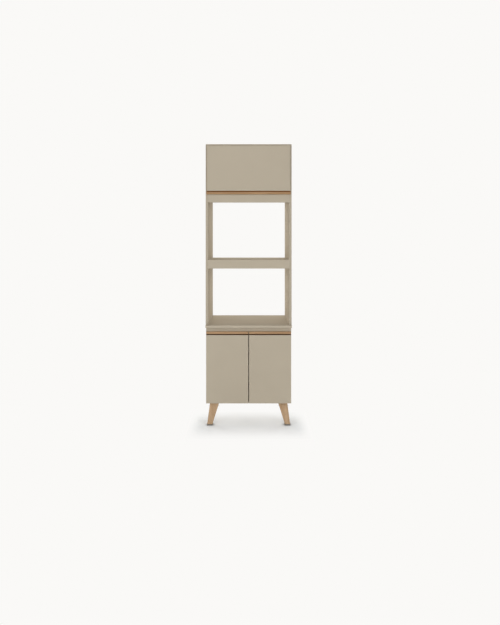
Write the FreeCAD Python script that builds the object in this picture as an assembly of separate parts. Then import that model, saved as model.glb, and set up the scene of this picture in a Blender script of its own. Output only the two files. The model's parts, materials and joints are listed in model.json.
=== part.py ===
import FreeCAD, Part
import os

Vector = FreeCAD.Vector
Rotation = FreeCAD.Rotation
Placement = FreeCAD.Placement

# A tall kitchen cabinet on four legs: a base cupboard with two doors, a counter, two open niches and
# a top cupboard with a lift-up flap. Millimetres. The origin is on the floor under the middle of the
# cabinet, X runs to the right, Y to the back and Z up. The front faces -Y.

# Overall sizes
width = 650.0
depth = 505.0
leg_height = 170.5
base_height = 573.5
counter_thick = 18.0
lower_niche = 427.0
upper_niche = 434.5
cupboard_inside = 356.5

# Boards
board = 18.0
fascia_rail = 48.0
base_rail = 70.0
back_thick = 3.0
back_margin = 2.0
counter_overhang = 25.0
base_inset = 3.0
shelf_level = 430.0
shelf_play = 1.0
shelf_setback = 40.0

# Doors and flap
door_thick = 18.0
bumper_gap = 3.0
door_gap = 6.0
door_inset = 2.0
door_foot_gap = 5.0
handle_gap = 29.3
flap_reveal = 12.5
flap_top_reveal = 16.0
flap_height = 338.5

# Handle profile along each door: a strip and a recessed web that seats on the door's edge
groove = 9.5
strip_height = 16.5
flap_handle_overrun = 4.5
web_thick = 7.0
strip_round = 1.5

# Legs: each inset is from the tower's outer face to the leg's outer edge
leg_top_inset = 31.0
leg_top_wide = 71.5
leg_foot_inset = 10.5
leg_foot_wide = 40.0
leg_top_setback = 35.0
leg_top_deep = 50.0
leg_foot_setback = 6.5
leg_foot_deep = 34.0
leg_round = 2.0
pad_thick = 10.0
pad_border = 2.0

# Cup hinges, seen along their pin: distances from the door's outer edge and from its back face
pin_edge = 7.5
pin_deep = 10.5
pin_radius = 1.25
pin_half = 8.0
pin_play = 0.05
eye_radius = 2.5
cup_edge = 3.0
cup_radius = 17.5
cup_wall = 1.0
cup_deep = 14.0
cup_floor = 0.5
flange_near = 6.0
flange_far = 34.0
flange_half = 29.0
flange_thick = 1.0
flange_hole_half = 24.0
flange_hole_out = 6.0
neck_half = 4.0
neck_play = 0.4
web_above_pin = 0.5
arm_thick = 3.0
arm_reach = 13.5
arm_body_start = 8.0
arm_body_end = 62.0
arm_body_half = 9.0
plate_start = 20.0
plate_screw_line = 37.0
plate_wing_half = 7.0
plate_wing_thick = 3.0
plate_half = 24.0
plate_screw_half = 16.0
arm_screw_line = 50.0
leaf_play = 0.6
hinge_from_end = 100.0

# Lift units that carry the flap
lift_back = 110.0
lift_drop = 45.0
bracket_drop = 120.0
bracket_behind = 12.0
housing_front = 22.0
housing_long = 140.0
housing_above = 35.0
housing_tall = 70.0
housing_deep = 18.0
housing_wall = 2.5
cover_thick = 2.0
shaft_radius = 5.0
shaft_play = 0.05
lift_gap = 1.0
arm_plate = 4.0
arm_eye = 11.0
arm_tip_eye = 8.0
link_plate = 3.0
link_gap = 0.4
link_eye = 7.0
link_pin_radius = 3.0
stud_play = 0.25
stud_head_radius = 4.5
stud_head_thick = 1.0
bracket_plate = 2.5
bracket_foot = 28.0
bracket_half = 20.0
bracket_lug = 3.0
bracket_lug_deep = 20.0
bracket_lug_half = 9.0
bracket_hole_half = 13.0
spring_radius = 7.5
spring_wire = 2.0
spring_long = 80.0
housing_screw_shares = (0.4, 0.65, 0.9)

# Fasteners
carcass_head_radius = 5.0
carcass_head = 4.0
carcass_shank_radius = 3.0
carcass_shank = 44.0
cap_thick = 1.5
screw_end_shares = (0.1, 0.5, 0.9)
dowel_radius = 4.0
dowel_long = 32.0
dowel_rail_shares = (0.28, 0.72)
counter_dowel_long = 62.0
counter_dowel_shares = (0.08, 0.36, 0.64, 0.92)
counter_screw_long = 40.0
counter_screw_bite = 12.0
counter_screw_share = 0.62
small_head_radius = 3.5
small_head = 1.5
small_shank_radius = 1.75
small_shank = 13.0
plate_head_radius = 4.0
plate_head = 2.0
plate_shank_radius = 2.5
plate_bite = 13.0
arm_shank_radius = 2.0
arm_bite = 4.0
handle_screw_bite = 30.0
handle_screw_from_end = 40.0
nail_head_radius = 2.0
nail_head = 1.0
nail_radius = 0.8
nail_long = 16.0
nail_pitch = 140.0
nail_from_end = 40.0
leg_screw_radius = 4.0
leg_screw_bite = 60.0
leg_screw_head_radius = 7.0
leg_screw_head = 4.0
leg_screw_half = 12.0
shelf_pin_radius = 2.5
shelf_pin_deep = 8.0
shelf_pin_out = 8.0
shelf_pin_inset = 60.0
bumper_radius = 4.0
flap_bumper_radius = 2.4
bumper_play = 0.3
bumper_inset = 25.0
wall_bracket_leg = 40.0
wall_bracket_wide = 30.0
wall_bracket_plate = 2.5
wall_bracket_inset = 57.0
wall_hole_radius = 4.0
wall_hole_drop = 25.0
overrun = 5.0

# Levels and faces that follow from these
front = -depth / 2
back = depth / 2
board_front = front + counter_overhang
board_back = back - back_thick
base_top = leg_height + base_height
counter_level = base_top + counter_thick
middle_rail_bottom = counter_level + lower_niche
middle_shelf_bottom = middle_rail_bottom + fascia_rail
middle_shelf_level = middle_shelf_bottom + board
upper_rail_bottom = middle_shelf_level + upper_niche
cupboard_floor_bottom = upper_rail_bottom + fascia_rail
cupboard_floor_level = cupboard_floor_bottom + board
top_underside = cupboard_floor_level + cupboard_inside
height = top_underside + board
tower_outer = width / 2
tower_inner = tower_outer - board
base_outer = tower_outer - base_inset
base_inner = base_outer - board
wall_bracket_out = tower_inner - wall_bracket_inset
leg_top_far = tower_outer - leg_top_inset
leg_top_near = leg_top_far - leg_top_wide
leg_foot_far = tower_outer - leg_foot_inset
leg_foot_near = leg_foot_far - leg_foot_wide
door_back = board_front - bumper_gap
door_front = door_back - door_thick

door_outer = base_outer - door_inset
door_inner = door_gap / 2
door_bottom = leg_height + door_foot_gap
strip_top = base_top - handle_gap
strip_bottom = strip_top - strip_height
door_top = strip_bottom - groove
flap_half = tower_outer - flap_reveal
flap_top = height - flap_top_reveal
flap_bottom = flap_top - flap_height
flap_strip_top = flap_bottom - groove
flap_strip_bottom = flap_strip_top - strip_height

cup_centre = cup_edge + cup_radius
neck_near = pin_edge + arm_reach
neck_far = neck_near + arm_thick
door_board_at = door_outer - base_inner
flap_board_at = flap_top - top_underside
hinge_levels = (door_bottom + hinge_from_end, door_top - hinge_from_end)
flap_hinge_places = (-flap_half + hinge_from_end, flap_half - hinge_from_end)

flap_pin = Vector(0, door_back - pin_deep, flap_top - pin_edge)
lift_pivot = flap_pin + Vector(0, lift_back, -lift_drop)
bracket_pin = flap_pin + Vector(0, pin_deep + bracket_behind, -bracket_drop)
lift_tip = lift_pivot + bracket_pin - flap_pin
arm_start = housing_deep + cover_thick + lift_gap
link_start = arm_start + arm_plate + link_gap
lug_start = link_start + link_plate + link_gap


def box(x0, x1, y0, y1, z0, z1):
    """A block between two corners."""
    return Part.makeBox(x1 - x0, y1 - y0, z1 - z0, Vector(x0, y0, z0))


def rod(radius, start, end):
    """A round bar between two points."""
    line = end - start
    return Part.makeCylinder(radius, line.Length, start, line)


def mirrored(shape):
    """The same shape on the other side of the cabinet."""
    return shape.mirror(Vector(0, 0, 0), Vector(1, 0, 0))


def both_sides(shapes):
    """The given shapes and their mirror images."""
    return shapes + [mirrored(shape) for shape in shapes]


def cut(shape, tools):
    """The shape without those tools that come near it."""
    near = [tool for tool in tools if tool.BoundBox.intersect(shape.BoundBox)]
    return shape.cut(near) if near else shape


def write(name, shapes):
    """Write one node with its solids."""
    solids = [solid for shape in shapes for solid in shape.Solids]
    node = solids[0] if len(solids) == 1 else Part.makeCompound(solids)
    node.exportStep("parts/" + name + ".step")


def screw(at, way, head_radius, head, shank_radius, shank):
    """A screw whose head rests on the point, with its shank along the way."""
    way = Vector(way).normalize()
    top = rod(head_radius, at - way * head, at)
    return top.fuse(rod(shank_radius, at, at + way * shank)).removeSplitter()


# Hinges. In their own space the door's outer edge is X 0, its back face is Y 0 and the pin runs in Z.

def hinge_cup():
    """The cup that sits in the door, with its flange and the slot that the arm swings in."""
    cup = Part.makeCylinder(cup_radius, cup_deep, Vector(cup_centre, -cup_deep, 0), Vector(0, 1, 0))
    flange = box(flange_near, flange_far, 0, flange_thick, -flange_half, flange_half)
    slot_half = neck_half + neck_play
    slot = box(cup_edge + cup_wall, neck_far + leaf_play, cup_floor - cup_deep, flange_thick + overrun,
               -slot_half, slot_half)
    holes = [slot, hinge_pin()] + cup_screws()
    return cup.fuse(flange).cut(holes)


def hinge_pin():
    """The steel pin across the cup."""
    return rod(pin_radius, Vector(pin_edge, -pin_deep, -pin_half), Vector(pin_edge, -pin_deep, pin_half))


def cup_screws():
    """The two screws that hold the cup's flange to the door."""
    out = cup_centre + flange_hole_out
    places = [Vector(out, flange_thick, side * flange_hole_half) for side in (-1, 1)]
    return [screw(at, (0, -1, 0), small_head_radius, small_head, small_shank_radius, small_shank)
            for at in places]


def cup_bores():
    """What the door loses to one cup."""
    cup = Part.makeCylinder(cup_radius, cup_deep, Vector(cup_centre, -cup_deep, 0), Vector(0, 1, 0))
    return [cup] + cup_screws()


def hinge_arm():
    """The bent arm: an eye on the pin, a web across the cup and a leg back to the mounting plate."""
    eye = rod(eye_radius, Vector(pin_edge, -pin_deep, -neck_half), Vector(pin_edge, -pin_deep, neck_half))
    low = -pin_deep - eye_radius
    web = box(pin_edge, neck_far, low, web_above_pin - pin_deep, -neck_half, neck_half)
    leg = box(neck_near, neck_far, low, bumper_gap + arm_body_end, -neck_half, neck_half)
    body = box(neck_near, neck_far, bumper_gap + arm_body_start, bumper_gap + arm_body_end,
               -arm_body_half, arm_body_half)
    arm = eye.fuse([web, leg, body]).removeSplitter()
    bore = rod(pin_radius + pin_play, Vector(pin_edge, -pin_deep, -pin_half),
               Vector(pin_edge, -pin_deep, pin_half))
    return arm.cut([bore, arm_screw()])


def arm_screw():
    """The screw that holds the arm on its plate."""
    at = Vector(neck_far, bumper_gap + arm_screw_line, 0)
    return screw(at, (-1, 0, 0), plate_head_radius, plate_head, arm_shank_radius, arm_thick + arm_bite)


def plate_screws(board_at):
    """The two screws that hold the plate on its board."""
    line = bumper_gap + plate_screw_line
    top = board_at + plate_wing_thick
    places = [Vector(top, line, side * plate_screw_half) for side in (-1, 1)]
    return [screw(at, (-1, 0, 0), plate_head_radius, plate_head, plate_shank_radius,
                  plate_wing_thick + plate_bite) for at in places]


def hinge_plate(board_at):
    """The mounting plate: a spine under the arm and two wings with the screws."""
    spine = box(board_at, neck_near, bumper_gap + plate_start, bumper_gap + arm_body_end,
                -arm_body_half, arm_body_half)
    line = bumper_gap + plate_screw_line
    wings = box(board_at, board_at + plate_wing_thick, line - plate_wing_half, line + plate_wing_half,
                -plate_half, plate_half)
    return spine.fuse(wings).removeSplitter().cut([arm_screw()] + plate_screws(board_at))


def at_left_door(shapes, level):
    """Hinge pieces moved to the left door."""
    return [shape.translated(Vector(-door_outer, door_back, level)) for shape in shapes]


def at_flap(shapes, place):
    """Hinge pieces turned and moved to the flap."""
    turn = Placement(Vector(place, door_back, flap_top), Rotation(Vector(0, 1, 0), 90))
    return [shape.transformed(turn.toMatrix()) for shape in shapes]


def left_door_set(maker):
    """What the maker returns, at both hinges of the left door."""
    return [piece for level in hinge_levels for piece in at_left_door(maker(), level)]


def flap_set(maker):
    """What the maker returns, at both hinges of the flap."""
    return [piece for place in flap_hinge_places for piece in at_flap(maker(), place)]


# Doors, flap and handles

def handle(x0, x1, strip_low, web_low):
    """A handle profile: the strip flush with the door's faces, and its web."""
    strip = box(x0, x1, door_front, door_back, strip_low, strip_low + strip_height)
    strip = strip.makeFillet(strip_round, [edge for edge in strip.Edges if edge.BoundBox.XLength > web_thick])
    web = box(x0, x1, door_back - web_thick, door_back, web_low, web_low + groove)
    return strip.fuse(web).removeSplitter()


def handle_screws(x0, x1, seat, way):
    """Screws through the strip's web into the door's edge."""
    middle = door_back - web_thick / 2
    places = (x0 + handle_screw_from_end, (x0 + x1) / 2, x1 - handle_screw_from_end)
    shank = strip_height - small_head + groove + handle_screw_bite
    start = seat - way * (groove + strip_height - small_head)
    return [screw(Vector(place, middle, start), (0, 0, way), small_head_radius, small_head,
                  small_shank_radius, shank) for place in places]


def door_bumpers():
    """Soft stops on the back of the left door's free corners."""
    x = -door_inner - bumper_inset
    low = (door_bottom + leg_height + board) / 2
    high = base_top - base_rail + bumper_radius + bumper_gap
    length = bumper_gap - bumper_play
    return [rod(bumper_radius, Vector(x, door_back, z), Vector(x, door_back + length, z))
            for z in (low, high)]


def flap_bumpers():
    """Soft stops on the back of the flap's strip."""
    z = (flap_strip_bottom + cupboard_floor_level) / 2
    length = bumper_gap - bumper_play
    return [rod(flap_bumper_radius, Vector(x, door_back, z), Vector(x, door_back + length, z))
            for x in flap_hinge_places]


def write_doors():
    """Both doors with their handles, cups, pins, screws and stops."""
    x0, x1 = -door_outer, -door_inner
    turned = handle_screws(x0, x1, door_top, -1)
    cups = left_door_set(cup_screws)
    leaf = cut(box(x0, x1, door_back - door_thick, door_back, door_bottom, door_top),
               turned + left_door_set(cup_bores))
    profile = handle(x0, x1, strip_bottom, door_top).cut(turned)
    pieces = {
        "door": [leaf],
        "door_handle": [profile],
        "door_hinge_cups": left_door_set(lambda: [hinge_cup()]),
        "door_hinge_pins": left_door_set(lambda: [hinge_pin()]),
        "door_screws": turned + cups,
        "door_bumpers": door_bumpers(),
    }
    for name, shapes in pieces.items():
        write("left_" + name, shapes)
        write("right_" + name, [mirrored(shape) for shape in shapes])


def write_flap():
    """The flap with its handle, cups, pins, screws, stops and lift brackets."""
    turned = handle_screws(-flap_half, flap_half, flap_bottom, 1)
    fixings = turned + flap_set(cup_screws) + both_sides(bracket_screws())
    leaf = cut(box(-flap_half, flap_half, door_back - door_thick, door_back, flap_bottom, flap_top),
               fixings + flap_set(cup_bores))
    half = flap_half + flap_handle_overrun
    profile = handle(-half, half, flap_strip_bottom, flap_strip_top).cut(turned)
    write("flap_panel", [leaf])
    write("flap_handle", [profile])
    write("flap_hinge_cups", flap_set(lambda: [hinge_cup()]))
    write("flap_hinge_pins", flap_set(lambda: [hinge_pin()]))
    write("flap_screws", fixings)
    write("flap_bumpers", flap_bumpers())
    write("flap_lift_brackets", both_sides([lift_bracket()]))


# Lift units. Each is drawn at the left side board and mirrored for the right.

def across(start, end, point):
    """The two ends of a pin through a point, by distances from the left side board's inner face."""
    first = Vector(start - tower_inner, point.y, point.z)
    return first, Vector(end - tower_inner, point.y, point.z)


def bar_with_eyes(start, thick, near, near_radius, far, far_radius):
    """A flat bar between two round eyes."""
    eyes = [rod(near_radius, *across(start, start + thick, near)),
            rod(far_radius, *across(start, start + thick, far))]
    line = far - near
    side = Vector(0, -line.z, line.y).normalize()
    corners = [near + side * near_radius, far + side * far_radius,
               far - side * far_radius, near - side * near_radius]
    points = [Vector(start - tower_inner, corner.y, corner.z) for corner in corners]
    bar = Part.Face(Part.makePolygon(points + points[:1])).extrude(Vector(thick, 0, 0))
    return bar.fuse(eyes).removeSplitter()


def lift_housing():
    """The spring box on the side board, open towards its cover, with the shaft that the arm turns on."""
    y0 = lift_pivot.y - housing_front
    z1 = lift_pivot.z + housing_above
    outer = box(-tower_inner, housing_deep - tower_inner, y0, y0 + housing_long, z1 - housing_tall, z1)
    inner = box(housing_wall - tower_inner, housing_deep - tower_inner + overrun,
                y0 + housing_wall, y0 + housing_long - housing_wall,
                z1 - housing_tall + housing_wall, z1 - housing_wall)
    end = link_start - link_gap
    shaft = rod(shaft_radius, *across(housing_wall, end, lift_pivot))
    return outer.cut(inner).fuse(shaft).cut(housing_screws())


def lift_cover():
    """The lid of the spring box, with a hole for the shaft."""
    y0 = lift_pivot.y - housing_front
    z1 = lift_pivot.z + housing_above
    x0 = housing_deep - tower_inner
    lid = box(x0, x0 + cover_thick, y0, y0 + housing_long, z1 - housing_tall, z1)
    ends = across(housing_deep - overrun, housing_deep + cover_thick + overrun, lift_pivot)
    return lid.cut(rod(shaft_radius, *ends))


def spring_line():
    """The height of the spring in its box."""
    return lift_pivot.z + housing_above - housing_tall + housing_wall + spring_radius + spring_wire


def lift_spring():
    """The spring pack, drawn as its sleeve, lying along the box's floor."""
    y1 = lift_pivot.y - housing_front + housing_long - housing_wall
    x = housing_wall + spring_radius - tower_inner
    ends = Vector(x, y1 - spring_long, spring_line()), Vector(x, y1, spring_line())
    return rod(spring_radius, *ends).cut(rod(spring_radius - spring_wire, *ends))


def housing_screws():
    """Screws from inside the box into the side board, above the spring."""
    z = lift_pivot.z + housing_above - housing_wall - plate_head_radius * 2
    y0 = lift_pivot.y - housing_front
    x = housing_wall - tower_inner
    places = [Vector(x, y0 + housing_long * share, z) for share in housing_screw_shares]
    return [screw(at, (-1, 0, 0), plate_head_radius, plate_head, plate_shank_radius,
                  housing_wall + plate_bite) for at in places]


def lift_arm():
    """The arm on the shaft, with the pin for the link at its tip."""
    arm = bar_with_eyes(arm_start, arm_plate, lift_pivot, arm_eye, lift_tip, arm_tip_eye)
    bore = rod(shaft_radius + shaft_play, *across(arm_start - overrun, link_start + overrun, lift_pivot))
    pin = rod(link_pin_radius, *across(arm_start, lug_start, lift_tip))
    return [arm.cut([bore, pin]), pin]


def lift_link():
    """The link from the arm's tip to the flap's bracket."""
    link = bar_with_eyes(link_start, link_plate, lift_tip, link_eye, bracket_pin, link_eye)
    ends = link_start - overrun, link_start + link_plate + overrun
    bores = [rod(link_pin_radius + shaft_play, *across(*ends, lift_tip)),
             rod(link_pin_radius + stud_play, *across(*ends, bracket_pin))]
    return link.cut(bores)


def lift_bracket():
    """The bracket on the flap's back: a foot, a lug and the stud that the link hangs on."""
    x0 = lug_start - tower_inner
    y0 = door_back
    z = bracket_pin.z
    foot = box(x0, x0 + bracket_foot, y0, y0 + bracket_plate, z - bracket_half, z + bracket_half)
    lug = box(x0, x0 + bracket_lug, y0, y0 + bracket_lug_deep, z - bracket_lug_half, z + bracket_lug_half)
    stud = rod(link_pin_radius, *across(link_start - link_gap, lug_start, bracket_pin))
    head = rod(stud_head_radius, *across(link_start - link_gap - stud_head_thick, link_start - link_gap,
                                         bracket_pin))
    return foot.fuse([lug, stud, head]).removeSplitter().cut(bracket_screws())


def bracket_screws():
    """The two screws of the left bracket."""
    x = lug_start - tower_inner + (bracket_lug + bracket_foot) / 2
    places = [Vector(x, door_back + bracket_plate, bracket_pin.z + side * bracket_hole_half)
              for side in (-1, 1)]
    return [screw(at, (0, -1, 0), small_head_radius, small_head, small_shank_radius, small_shank)
            for at in places]


def write_lifts():
    """Both lift units."""
    write("lift_housings", both_sides([lift_housing()]))
    write("lift_covers", both_sides([lift_cover()]))
    write("lift_springs", both_sides([lift_spring()]))
    write("left_lift_arm", lift_arm())
    write("right_lift_arm", [mirrored(shape) for shape in lift_arm()])
    write("left_lift_link", [lift_link()])
    write("right_lift_link", [mirrored(lift_link())])


# Fasteners of the case

def along(start, end, shares):
    """Places between two ends by their shares."""
    return [start + (end - start) * share for share in shares]


def carcass_screws():
    """Long screws through the side boards into the ends of the boards between them."""
    tower_boards = (middle_shelf_bottom, cupboard_floor_bottom, top_underside)
    levels = [(leg_height + board / 2, base_outer)]
    levels += [(z + board / 2, tower_outer) for z in tower_boards]
    seat = cap_thick + carcass_head
    return [screw(Vector(seat - outer, y, z), (1, 0, 0), carcass_head_radius, carcass_head,
                  carcass_shank_radius, carcass_shank)
            for z, outer in levels for y in along(board_front, board_back, screw_end_shares)]


def screw_caps():
    """Flush caps over the carcass screws."""
    seats = [(one.BoundBox.XMin, one.BoundBox.Center.y, one.BoundBox.Center.z) for one in carcass_screws()]
    return [rod(carcass_head_radius, Vector(x - cap_thick, y, z), Vector(x, y, z)) for x, y, z in seats]


def rail_dowels():
    """Dowels between the rails' ends and the side boards."""
    middle = board_front + board / 2
    rear = board_back - board / 2
    rails = [(upper_rail_bottom, fascia_rail, tower_inner, middle),
             (middle_rail_bottom, fascia_rail, tower_inner, middle),
             (base_top - base_rail, base_rail, base_inner, middle),
             (base_top - base_rail, base_rail, base_inner, rear)]
    return [rod(dowel_radius, Vector(-inner - dowel_long / 2, y, z), Vector(-inner + dowel_long / 2, y, z))
            for bottom, tall, inner, y in rails for z in along(bottom, bottom + tall, dowel_rail_shares)]


def counter_dowels():
    """Long dowels that join the tower's sides, the counter and the base's sides."""
    x = -(tower_inner + base_outer) / 2
    low = base_top + counter_thick / 2 - counter_dowel_long / 2
    return [rod(dowel_radius, Vector(x, y, low), Vector(x, y, low + counter_dowel_long))
            for y in along(board_front, board_back, counter_dowel_shares)]


def counter_screws():
    """Screws up through the base's rails into the counter."""
    x = -base_inner * counter_screw_share
    seat = base_top + counter_screw_bite - counter_screw_long
    rows = (board_front + board / 2, board_back - board / 2)
    return [screw(Vector(x, y, seat), (0, 0, 1), small_head_radius, small_head,
                  small_shank_radius, counter_screw_long) for y in rows]


def counter_screw_bores():
    """The deep bores under the counter screws."""
    x = -base_inner * counter_screw_share
    seat = base_top + counter_screw_bite - counter_screw_long
    low = base_top - base_rail - overrun
    rows = (board_front + board / 2, board_back - board / 2)
    return [rod(small_head_radius, Vector(x, y, low), Vector(x, y, seat)) for y in rows]


def spaced(start, end):
    """Places for nails between two ends, evenly, at about their pitch."""
    first = start + nail_from_end
    span = end - nail_from_end - first
    steps = max(1, round(span / nail_pitch))
    return [first + span * step / steps for step in range(steps + 1)]


def panel_nails(outer, low, high):
    """Nails round the left half of a back panel."""
    x = -outer + board / 2
    places = [(x, z) for z in spaced(low, high)]
    places += [(-across_x, z) for z in (low + board / 2, high - board / 2)
               for across_x in spaced(0, outer - board)]
    return [screw(Vector(px, back - nail_head, pz), (0, -1, 0), nail_head_radius, nail_head,
                  nail_radius, nail_long) for px, pz in places]


def back_panel_nails():
    """Nails of both back panels, left half. The base panel is nailed to its rail at the top."""
    return (panel_nails(tower_outer, cupboard_floor_bottom, height)
            + panel_nails(base_outer, leg_height, base_top))


def wall_bracket():
    """The angle under the tower's top that a wall screw goes through."""
    half = wall_bracket_wide / 2
    x0, x1 = -wall_bracket_out - half, half - wall_bracket_out
    y1 = board_back
    z1 = top_underside
    flat = box(x0, x1, y1 - wall_bracket_leg, y1, z1 - wall_bracket_plate, z1)
    upright = box(x0, x1, y1 - wall_bracket_plate, y1, z1 - wall_bracket_leg, z1)
    return flat.fuse(upright).removeSplitter().cut([wall_hole()] + wall_bracket_screws())


def wall_hole():
    """The bore for a wall screw, through the left bracket and the back panel."""
    z = top_underside - wall_hole_drop
    return rod(wall_hole_radius, Vector(-wall_bracket_out, board_back - wall_bracket_plate - overrun, z),
               Vector(-wall_bracket_out, back + overrun, z))


def wall_bracket_screws():
    """The screw that holds the left angle under the top."""
    at = Vector(-wall_bracket_out, board_back - wall_bracket_leg / 2, top_underside - wall_bracket_plate)
    return [screw(at, (0, 0, 1), plate_head_radius, plate_head, plate_shank_radius, plate_bite)]


def fitting_screws():
    """Screws of the hinge plates, hinge arms, lift housings and wall angles, left half."""
    door = left_door_set(lambda: [arm_screw()] + plate_screws(door_board_at))
    flap = at_flap([arm_screw()] + plate_screws(flap_board_at), flap_hinge_places[0])
    return door + flap + housing_screws() + wall_bracket_screws()


def shelf_pins():
    """Pins under the inner shelf, left half."""
    rows = (board_front + shelf_setback + shelf_pin_inset, board_back - shelf_pin_inset)
    z = shelf_level - shelf_pin_radius
    return [rod(shelf_pin_radius, Vector(-base_inner - shelf_pin_deep, y, z),
                Vector(shelf_pin_out - base_inner, y, z)) for y in rows]


# Boards of the case

def between_sides(inner, y0, y1, z0, z1, tools):
    """A board that fills the width between two side boards."""
    return cut(box(-inner, inner, y0, y1, z0, z1), tools)


def write_tower(tools):
    """The tower above the counter."""
    left = cut(box(-tower_outer, -tower_inner, board_front, board_back, counter_level, height), tools)
    write("left_tower_side", [left])
    write("right_tower_side", [mirrored(left)])
    boards = {"tower_top": top_underside, "upper_cupboard_floor": cupboard_floor_bottom,
              "middle_shelf": middle_shelf_bottom}
    for name, z in boards.items():
        write(name, [between_sides(tower_inner, board_front, board_back, z, z + board, tools)])
    rails = {"upper_front_rail": upper_rail_bottom, "middle_front_rail": middle_rail_bottom}
    for name, z in rails.items():
        write(name, [between_sides(tower_inner, board_front, board_front + board, z, z + fascia_rail, tools)])
    panel = box(back_margin - tower_outer, tower_outer - back_margin, board_back, back,
                cupboard_floor_bottom + back_margin, height - back_margin)
    write("upper_back_panel", [cut(panel, tools)])


def write_base(tools):
    """The base cupboard and the counter."""
    counter = box(-tower_outer, tower_outer, front, back, base_top, counter_level)
    write("counter_top", [cut(counter, tools)])
    left = cut(box(-base_outer, -base_inner, board_front, board_back, leg_height, base_top), tools)
    write("left_base_side", [left])
    write("right_base_side", [mirrored(left)])
    floor_level = leg_height + board
    write("base_floor", [between_sides(base_inner, board_front, board_back, leg_height, floor_level, tools)])
    rails = {"base_front_rail": board_front, "base_rear_rail": board_back - board}
    for name, y in rails.items():
        write(name, [between_sides(base_inner, y, y + board, base_top - base_rail, base_top, tools)])
    panel = box(back_margin - base_outer, base_outer - back_margin, board_back, back,
                leg_height + back_margin, base_top)
    write("base_back_panel", [cut(panel, tools)])
    shelf = box(shelf_play - base_inner, base_inner - shelf_play, board_front + shelf_setback,
                board_back - shelf_play, shelf_level, shelf_level + board)
    write("inner_shelf", [shelf])


# Legs

def rectangle(x0, x1, y0, y1, z):
    """A closed rectangle at a level."""
    corners = [Vector(x0, y0, z), Vector(x1, y0, z), Vector(x1, y1, z), Vector(x0, y1, z)]
    return Part.makePolygon(corners + corners[:1])


def leg():
    """The front left leg, tapered and splayed to the side and to the front."""
    top = rectangle(-leg_top_far, -leg_top_near, board_front + leg_top_setback,
                    board_front + leg_top_setback + leg_top_deep, leg_height)
    foot = rectangle(-leg_foot_far, -leg_foot_near, board_front + leg_foot_setback,
                     board_front + leg_foot_setback + leg_foot_deep, pad_thick)
    post = Part.makeLoft([top, foot], True, True)
    upright = [edge for edge in post.Edges if edge.BoundBox.ZLength > pad_thick]
    return post.makeFillet(leg_round, upright)


def leg_pad():
    """The thin pad under the front left leg."""
    return box(-leg_foot_far - pad_border, pad_border - leg_foot_near,
               board_front + leg_foot_setback - pad_border,
               board_front + leg_foot_setback + leg_foot_deep + pad_border, 0, pad_thick)


def leg_screws():
    """Two screws down through the base's floor into the front left leg."""
    x = -(leg_top_near + leg_top_far) / 2
    y = board_front + leg_top_setback + leg_top_deep / 2
    seat = leg_height + board
    return [screw(Vector(x + side * leg_screw_half, y, seat), (0, 0, -1), leg_screw_head_radius,
                  leg_screw_head, leg_screw_radius, leg_screw_bite) for side in (-1, 1)]


def to_rear(shape):
    """A front piece mirrored to the rear of the case."""
    return shape.mirror(Vector(0, (board_front + board_back) / 2, 0), Vector(0, 1, 0))


def write_legs():
    """Four legs with their pads and screws."""
    post = leg().cut(leg_screws())
    write("front_left_leg", [post])
    write("front_right_leg", [mirrored(post)])
    write("rear_left_leg", [to_rear(post)])
    write("rear_right_leg", [mirrored(to_rear(post))])
    write("foot_pads", both_sides([leg_pad(), to_rear(leg_pad())]))


def main():
    """Write every node."""
    os.makedirs("parts", exist_ok=True)
    screws = leg_screws()
    groups = {
        "carcass_screws": carcass_screws(),
        "screw_caps": screw_caps(),
        "rail_dowels": rail_dowels(),
        "counter_dowels": counter_dowels(),
        "counter_screws": counter_screws(),
        "back_panel_nails": back_panel_nails(),
        "fitting_screws": fitting_screws(),
        "shelf_pins": shelf_pins(),
        "leg_screws": screws + [to_rear(shape) for shape in screws],
    }
    tools = both_sides(counter_screw_bores() + [wall_hole()])
    for name, shapes in groups.items():
        pair = both_sides(shapes)
        write(name, pair)
        tools += pair
    write("hinge_arms", both_sides(left_door_set(lambda: [hinge_arm()])
                                   + at_flap([hinge_arm()], flap_hinge_places[0])))
    write("hinge_plates", both_sides(left_door_set(lambda: [hinge_plate(door_board_at)])
                                     + at_flap([hinge_plate(flap_board_at)], flap_hinge_places[0])))
    write("wall_brackets", both_sides([wall_bracket()]))
    write_tower(tools)
    write_base(tools)
    write_legs()
    write_doors()
    write_flap()
    write_lifts()


main()
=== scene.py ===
"""Looks of a tall kitchen cabinet: lacquered boards, wood handles and legs, hinges and lifts."""

import json
import logging
import math
from dataclasses import dataclass, field
from enum import Enum
from typing import Callable, Iterable, Sequence

import bpy
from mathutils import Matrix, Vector

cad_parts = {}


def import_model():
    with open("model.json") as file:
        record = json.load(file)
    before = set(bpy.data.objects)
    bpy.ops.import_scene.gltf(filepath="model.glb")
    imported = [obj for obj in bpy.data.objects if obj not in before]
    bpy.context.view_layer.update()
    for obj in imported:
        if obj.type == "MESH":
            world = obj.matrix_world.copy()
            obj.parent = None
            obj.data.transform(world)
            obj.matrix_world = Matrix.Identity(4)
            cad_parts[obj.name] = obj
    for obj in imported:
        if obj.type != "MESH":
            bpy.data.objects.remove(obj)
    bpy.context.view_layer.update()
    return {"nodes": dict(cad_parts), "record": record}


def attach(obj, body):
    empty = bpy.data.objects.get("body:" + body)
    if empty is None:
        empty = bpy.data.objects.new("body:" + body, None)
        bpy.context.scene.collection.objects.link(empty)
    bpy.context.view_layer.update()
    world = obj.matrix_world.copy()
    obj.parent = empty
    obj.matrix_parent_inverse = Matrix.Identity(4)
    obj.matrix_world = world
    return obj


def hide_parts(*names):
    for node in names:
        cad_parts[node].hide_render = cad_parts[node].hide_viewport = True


logging.basicConfig(level=logging.INFO, format="%(message)s")
LOG = logging.getLogger("cabinet")

Colour = tuple[float, float, float]
Span = tuple[float, float]

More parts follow.
